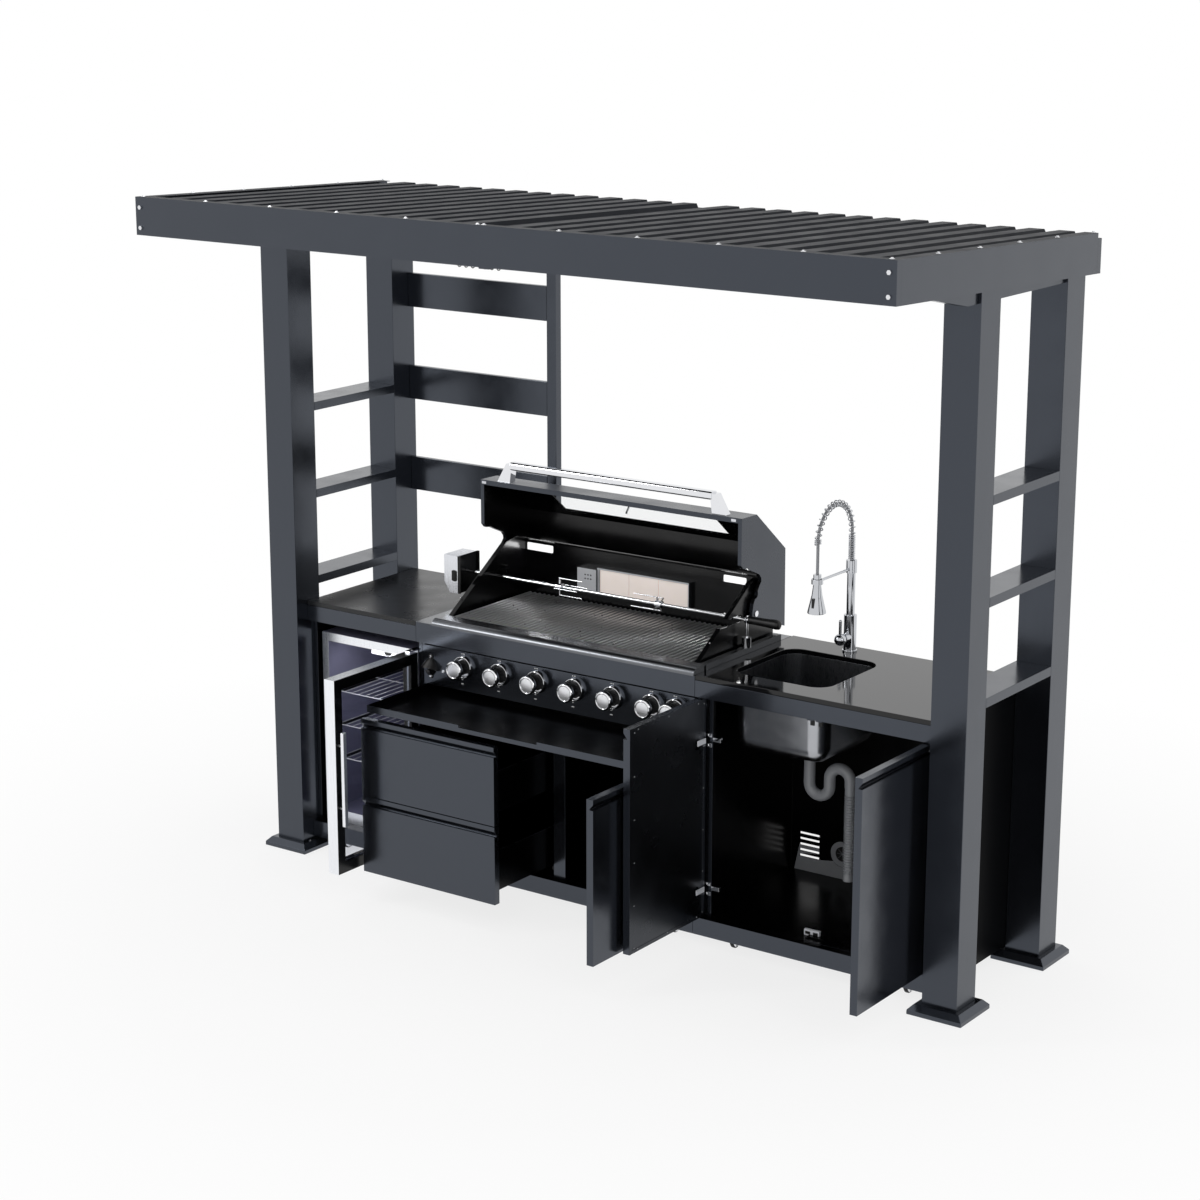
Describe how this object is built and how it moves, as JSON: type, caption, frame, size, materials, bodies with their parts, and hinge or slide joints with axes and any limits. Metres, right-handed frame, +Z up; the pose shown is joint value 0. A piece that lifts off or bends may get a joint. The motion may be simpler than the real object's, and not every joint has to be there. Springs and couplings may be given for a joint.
{
  "type": "outdoor_kitchen_island",
  "caption": "Outdoor kitchen island under a sloped ribbed metal roof, with a gas grill and rotisserie, a glass-door fridge, drawers, cupboards, a sink and a spring faucet",
  "frame": {"origin": "Floor level, centre of the roof's footprint", "axes": "+X to the sink end along the counter, +Y to the back, +Z up; the cook stands on the -Y side"},
  "size_m": [2.828, 1.2676, 2.3789],
  "materials": {
    "frame_paint": "satin charcoal powder coat",
    "cabinet_paint": "semi-gloss black powder coat",
    "counter_paint": "matte black textured coat",
    "polished_stone": "polished black stone slab",
    "enamel": "black heat-proof enamel",
    "brushed_trim": "brushed stainless steel",
    "bright_steel": "bright steel",
    "chrome_plate": "polished chrome",
    "grate_iron": "stainless rods darkened by heat",
    "burner_brass": "plain steel tube",
    "fridge_liner": "pale grey moulded liner",
    "white_plastic": "white moulded plastic",
    "black_plastic": "black moulded plastic",
    "grey_plastic": "dark grey waste pipe",
    "caster_rubber": "black rubber tread",
    "clear_glass": "toughened glass"
  },
  "bodies": {
    "island": {"posts": "frame_paint", "base_plates": "cabinet_paint", "roof_beams": "frame_paint", "roof_fascias": "frame_paint", "roof_sheets": "frame_paint", "frame_screws": "bright_steel", "side_shelves": "frame_paint", "back_slats": "frame_paint", "utensil_hooks": "cabinet_paint", "fridge_cabinet": "cabinet_paint", "grill_cabinet": "cabinet_paint", "sink_cabinet": "cabinet_paint", "left_counter": "counter_paint", "stone_counter": "polished_stone", "grill_trim": "brushed_trim", "firebox": "enamel", "control_panel": "cabinet_paint", "cooking_grates": "grate_iron", "gas_burners": "burner_brass", "rear_burner": "brushed_trim", "knob_bezels": "chrome_plate", "bottle_opener": "cabinet_paint", "fridge_body": "fridge_liner", "fridge_shelves": "chrome_plate", "thermostat_housing": "white_plastic", "sink_bowl": "brushed_trim", "drain_trap": "grey_plastic", "drain_hose": "grey_plastic", "faucet_base": "chrome_plate", "spit_bracket": "bright_steel", "spit_motor": "brushed_trim", "caster_forks": "bright_steel"},
    "hood_lid": {"hood": "enamel", "hood_glass": "clear_glass", "hood_handle": "chrome_plate", "thermometer": "bright_steel"},
    "spit": {"spit_rod": "bright_steel", "spit_handle": "black_plastic"},
    "tray": {"drip_tray": "enamel"},
    "drawer_up": {"upper_drawer": "cabinet_paint"},
    "drawer_low": {"lower_drawer": "cabinet_paint"},
    "door_middle": {"middle_door": "cabinet_paint"},
    "door_sink_left": {"sink_left_door": "cabinet_paint"},
    "door_sink_right": {"sink_right_door": "cabinet_paint"},
    "door_fridge": {"fridge_door": "brushed_trim", "fridge_glass": "clear_glass"},
    "lever": {"faucet_lever": "chrome_plate"},
    "spout": {"faucet_spout": "chrome_plate", "faucet_spring": "chrome_plate", "spray_head": "chrome_plate"},
    "dial": {"thermostat_dial": "black_plastic"},
    "wheels_front": {"front_caster_wheels": "caster_rubber"},
    "wheels_rear": {"rear_caster_wheels": "caster_rubber"},
    "knob_body_1": {"knob_1": "chrome_plate"},
    "knob_body_2": {"knob_2": "chrome_plate"},
    "knob_body_3": {"knob_3": "chrome_plate"},
    "knob_body_4": {"knob_4": "chrome_plate"},
    "knob_body_5": {"knob_5": "chrome_plate"},
    "knob_body_6": {"knob_6": "chrome_plate"},
    "knob_body_7": {"knob_7": "chrome_plate"}
  },
  "joints": [
    {"name": "hood_hinge", "type": "hinge", "parent": "island", "child": "hood_lid", "pos_m": [-0.167, 0.3585, 1.036], "axis": [1, 0, 0], "range_deg": [0, 90]},
    {"name": "knob_1_turn", "type": "hinge", "parent": "island", "child": "knob_body_1", "pos_m": [-0.575, -0.004, 0.781], "axis": [0, 1, 0], "range_deg": [0, 120]},
    {"name": "knob_2_turn", "type": "hinge", "parent": "island", "child": "knob_body_2", "pos_m": [-0.4195, -0.004, 0.781], "axis": [0, 1, 0], "range_deg": [0, 120]},
    {"name": "knob_3_turn", "type": "hinge", "parent": "island", "child": "knob_body_3", "pos_m": [-0.264, -0.004, 0.781], "axis": [0, 1, 0], "range_deg": [0, 120]},
    {"name": "knob_4_turn", "type": "hinge", "parent": "island", "child": "knob_body_4", "pos_m": [-0.1085, -0.004, 0.781], "axis": [0, 1, 0], "range_deg": [0, 120]},
    {"name": "knob_5_turn", "type": "hinge", "parent": "island", "child": "knob_body_5", "pos_m": [0.047, -0.004, 0.781], "axis": [0, 1, 0], "range_deg": [0, 120]},
    {"name": "knob_6_turn", "type": "hinge", "parent": "island", "child": "knob_body_6", "pos_m": [0.2025, -0.004, 0.781], "axis": [0, 1, 0], "range_deg": [0, 120]},
    {"name": "knob_7_turn", "type": "hinge", "parent": "island", "child": "knob_body_7", "pos_m": [0.296, -0.004, 0.781], "axis": [0, 1, 0], "range_deg": [0, 90]},
    {"name": "tray_slide", "type": "slide", "parent": "island", "child": "tray", "axis": [0, 1, 0], "range_m": [0, 0.29]},
    {"name": "upper_drawer_slide", "type": "slide", "parent": "island", "child": "drawer_up", "axis": [0, 1, 0], "range_m": [0, 0.304]},
    {"name": "lower_drawer_slide", "type": "slide", "parent": "island", "child": "drawer_low", "axis": [0, 1, 0], "range_m": [0, 0.304]},
    {"name": "middle_door_hinge", "type": "hinge", "parent": "island", "child": "door_middle", "pos_m": [0.366, -0.0138, 0.375], "axis": [0, 0, 1], "range_deg": [-90, 0]},
    {"name": "sink_left_door_hinge", "type": "hinge", "parent": "island", "child": "door_sink_left", "pos_m": [0.396, -0.0138, 0.47], "axis": [0, 0, 1], "range_deg": [0, 90]},
    {"name": "sink_right_door_hinge", "type": "hinge", "parent": "island", "child": "door_sink_right", "pos_m": [1.224, -0.0138, 0.47], "axis": [0, 0, 1], "range_deg": [-90, 0]},
    {"name": "fridge_door_hinge", "type": "hinge", "parent": "island", "child": "door_fridge", "pos_m": [-0.8045, -0.001, 0.45], "axis": [0, 0, 1], "range_deg": [-90, 0]},
    {"name": "lever_turn", "type": "hinge", "parent": "island", "child": "lever", "pos_m": [0.635, 0.4505, 0.969], "axis": [0, 1, 0], "range_deg": [-45, 45]},
    {"name": "spout_swivel", "type": "hinge", "parent": "island", "child": "spout", "pos_m": [0.635, 0.5125, 1.041], "axis": [0, 0, 1], "range_deg": [-60, 60]},
    {"name": "spit_spin", "type": "hinge", "parent": "island", "child": "spit", "pos_m": [-0.79, 0.2925, 1.031], "axis": [1, 0, 0], "continuous": true},
    {"name": "thermostat_turn", "type": "hinge", "parent": "island", "child": "dial", "pos_m": [-0.987, 0.0935, 0.748], "axis": [0, 1, 0], "range_deg": [-135, 135]},
    {"name": "front_wheels_spin", "type": "hinge", "parent": "island", "child": "wheels_front", "pos_m": [0, 0.0435, 0.03], "axis": [1, 0, 0], "continuous": true},
    {"name": "rear_wheels_spin", "type": "hinge", "parent": "island", "child": "wheels_rear", "pos_m": [0, 0.5025, 0.03], "axis": [1, 0, 0], "continuous": true}
  ]
}
